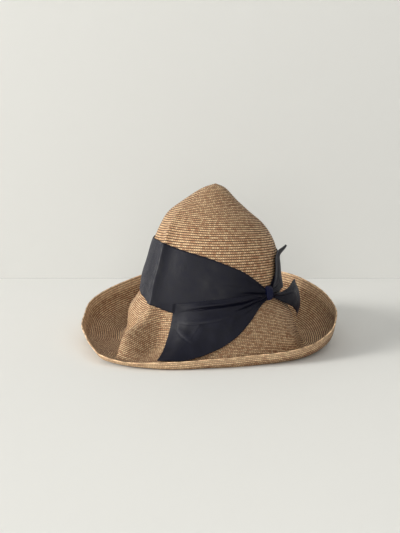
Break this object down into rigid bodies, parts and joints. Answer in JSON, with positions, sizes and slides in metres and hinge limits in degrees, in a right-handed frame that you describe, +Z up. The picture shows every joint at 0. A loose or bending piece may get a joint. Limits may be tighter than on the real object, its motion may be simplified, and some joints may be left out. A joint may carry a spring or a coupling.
{
  "type": "soft straw hat",
  "caption": "Soft braided paper straw hat with a tall dented crown, a turned up wavy brim and a wide dark ribbon gathered in a knot at the side.",
  "frame": {"origin": "centre of the bounding box in X and Y, at the lowest skin of the brim, on the surface the hat rests on", "axes": "+Z up through the crown, -Y towards the side seen in the picture, where the ribbon tail lies, +X towards the knot"},
  "size_m": [0.3218, 0.3296, 0.1937],
  "materials": {
    "straw": "braided paper straw, matt, golden tan with darker gaps",
    "ribbon": "fine ribbed ribbon, near black navy, low sheen",
    "knot": "fine ribbed ribbon, navy, low sheen"
  },
  "bodies": {
    "root": {"crown": "straw", "brim": "straw", "brim_edge": "straw", "ribbon_band": "ribbon", "ribbon_front_tail": "ribbon", "ribbon_upright_end": "ribbon", "ribbon_back_tail": "ribbon", "ribbon_knot": "knot"}
  },
  "joints": []
}
